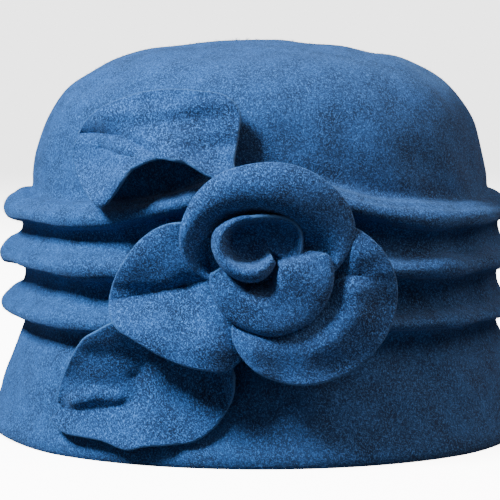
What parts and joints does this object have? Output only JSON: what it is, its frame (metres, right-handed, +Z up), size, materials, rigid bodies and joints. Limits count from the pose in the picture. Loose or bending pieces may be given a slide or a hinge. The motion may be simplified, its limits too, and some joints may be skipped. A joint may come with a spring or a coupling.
{
  "type": "cloche hat",
  "caption": "Wool felt cloche hat with three soft tucks round the crown, a short flared brim and a felt rose with leaves on one side.",
  "frame": {"origin": "middle of the hat's outer box in plan, on the surface that the rim rests on", "axes": "+Z up through the crown, +X to the wearer's front, -Y the side that carries the rose"},
  "size_m": [0.2414, 0.2246, 0.169],
  "materials": {
    "hat_felt": "matte wool felt",
    "rose_felt": "matte wool felt"
  },
  "bodies": {
    "root": {"hat_body": "hat_felt", "leaf_upper": "rose_felt", "leaf_lower": "rose_felt", "petal_left": "rose_felt", "petal_right": "rose_felt", "petal_upper": "rose_felt", "petal_lower": "rose_felt", "rose_heart": "rose_felt"}
  },
  "joints": []
}
